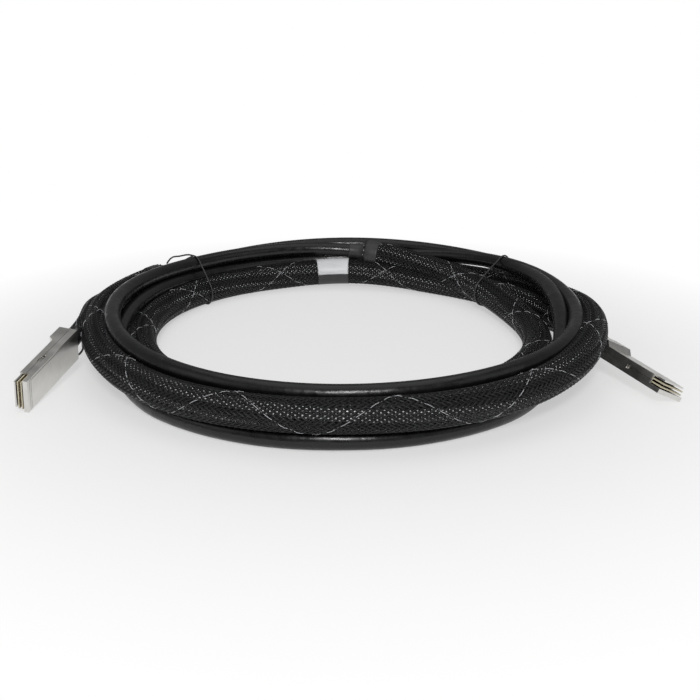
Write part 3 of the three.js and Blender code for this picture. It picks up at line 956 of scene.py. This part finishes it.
class CABLE_OT_stage(bpy.types.Operator):
    """Set up the camera, the pale floor and the soft lights"""

    bl_idname = "cable.stage"
    bl_label = "Stage"

    def execute(self, context):
        settings = context.scene.stage_settings
        scene = context.scene
        camera = bpy.data.objects.new("Camera", bpy.data.cameras.new("Camera"))
        camera.data.lens = CAMERA_LENS
        camera.data.sensor_width = SENSOR_WIDTH
        camera.data.shift_x = (PHOTO_SIZE / 2 - PHOTO_CENTRE_X) / PHOTO_SIZE
        centre = coil_centre()
        camera.location = (centre[0], centre[1] - CAMERA_BACK, CAMERA_HEIGHT)
        camera.rotation_euler = (math.radians(90 - CAMERA_PITCH), 0, 0)
        scene.collection.objects.link(camera)
        scene.camera = camera
        scene.view_settings.view_transform = "Standard"
        floor_mesh = bpy.data.meshes.new("Floor")
        corners = [(x * FLOOR_REACH, y * FLOOR_REACH, 0) for x, y in ((-1, -1), (1, -1), (1, 1), (-1, 1))]
        floor_mesh.from_pydata(corners, [], [(0, 1, 2, 3)])
        floor = bpy.data.objects.new("Floor", floor_mesh)
        floor.location = (centre[0], centre[1] - FLOOR_FORWARD, -FLOOR_DROP)
        scene.collection.objects.link(floor)
        floor_mesh.materials.append(floor_material(tuple(settings.floor_colour)))
        for name, place, aim, size, power in LAMPS:
            self.lamp(scene, name, place, aim, size, getattr(settings, power))
        white_world(scene)
        return {"FINISHED"}

    def lamp(self, scene, name, place, aim, size, power):
        """A square softbox turned to its aim."""
        lamp = bpy.data.objects.new(name, bpy.data.lights.new(name, "AREA"))
        lamp.data.shape = "SQUARE"
        lamp.data.size = size
        lamp.data.energy = power
        lamp.location = place
        toward = Vector(aim) - Vector(place)
        lamp.rotation_euler = toward.to_track_quat("-Z", "Y").to_euler()
        scene.collection.objects.link(lamp)


def floor_material(colour):
    """A pale floor with its shadow near the object, that the camera sees as white further out."""
    material, tree, shader = nodes_of("Pale floor")
    shader.inputs["Base Color"].default_value = (*colour, 1)
    shader.inputs["Roughness"].default_value = 0.7
    glow = tree.nodes.new("ShaderNodeEmission")
    glow.inputs["Color"].default_value = (1, 1, 1, 1)
    source = tree.nodes.new("ShaderNodeTexCoord")
    length = tree.nodes.new("ShaderNodeVectorMath")
    length.operation = "LENGTH"
    link(tree, source.outputs["Object"], length.inputs[0])
    share = ramp(tree, length.outputs["Value"], SHADE_SHARE, 1.0, SHADE_NEAR, SHADE_FAR)
    path = tree.nodes.new("ShaderNodeLightPath")
    seen = tree.nodes.new("ShaderNodeMath")
    seen.operation = "MAXIMUM"
    link(tree, path.outputs["Is Camera Ray"], seen.inputs[0])
    link(tree, path.outputs["Is Glossy Ray"], seen.inputs[1])
    amount = tree.nodes.new("ShaderNodeMath")
    amount.operation = "MULTIPLY"
    link(tree, seen.outputs["Value"], amount.inputs[0])
    link(tree, share, amount.inputs[1])
    mix = tree.nodes.new("ShaderNodeMixShader")
    link(tree, amount.outputs["Value"], mix.inputs["Fac"])
    link(tree, shader.outputs["BSDF"], mix.inputs[1])
    link(tree, glow.outputs["Emission"], mix.inputs[2])
    link(tree, mix.outputs["Shader"], tree.nodes["Material Output"].inputs["Surface"])
    return material


def white_world(scene):
    """A dim white light all round, that the camera sees as plain white."""
    world = bpy.data.worlds.new("Studio")
    scene.world = world
    world.use_nodes = True
    tree = world.node_tree
    ground = tree.nodes["Background"]
    ground.inputs["Color"].default_value = (1, 1, 1, 1)
    ground.inputs["Strength"].default_value = WORLD_STRENGTH
    seen = tree.nodes.new("ShaderNodeBackground")
    seen.inputs["Color"].default_value = (1, 1, 1, 1)
    path = tree.nodes.new("ShaderNodeLightPath")
    mix = tree.nodes.new("ShaderNodeMixShader")
    link(tree, path.outputs["Is Camera Ray"], mix.inputs["Fac"])
    link(tree, ground.outputs["Background"], mix.inputs[1])
    link(tree, seen.outputs["Background"], mix.inputs[2])
    link(tree, mix.outputs["Shader"], tree.nodes["World Output"].inputs["Surface"])


class CABLE_PT_sidebar(bpy.types.Panel):
    """The cable's settings and steps"""

    bl_label = "Cable"
    bl_space_type = "VIEW_3D"
    bl_region_type = "UI"
    bl_category = "Cable"

    def draw(self, context):
        scene = context.scene
        for group in (scene.stage_settings, scene.cable_settings, scene.plug_settings):
            for name in group.__annotations__:
                self.layout.prop(group, name)
        for step in STEPS:
            self.layout.operator(step)


STEPS = ("cable.stage", "cable.collars", "cable.sleeves", "cable.trunk", "cable.ties", "cable.plugs")
CLASSES = (
    CableSettings, PlugSettings, StageSettings, CABLE_OT_stage, CABLE_OT_sleeves, CABLE_OT_trunk,
    CABLE_OT_collars, CABLE_OT_ties, CABLE_OT_plugs, CABLE_PT_sidebar,
)


def register():
    for kind in CLASSES:
        bpy.utils.register_class(kind)
    bpy.types.Scene.cable_settings = PointerProperty(type=CableSettings)
    bpy.types.Scene.plug_settings = PointerProperty(type=PlugSettings)
    bpy.types.Scene.stage_settings = PointerProperty(type=StageSettings)


def unregister():
    del bpy.types.Scene.stage_settings
    del bpy.types.Scene.plug_settings
    del bpy.types.Scene.cable_settings
    for kind in reversed(CLASSES):
        bpy.utils.unregister_class(kind)


def main():
    register()
    bpy.ops.cable.stage()
    bpy.ops.cable.collars()
    bpy.ops.cable.sleeves()
    bpy.ops.cable.trunk()
    bpy.ops.cable.ties()
    bpy.ops.cable.plugs()


if __name__ == "__main__":
    main()
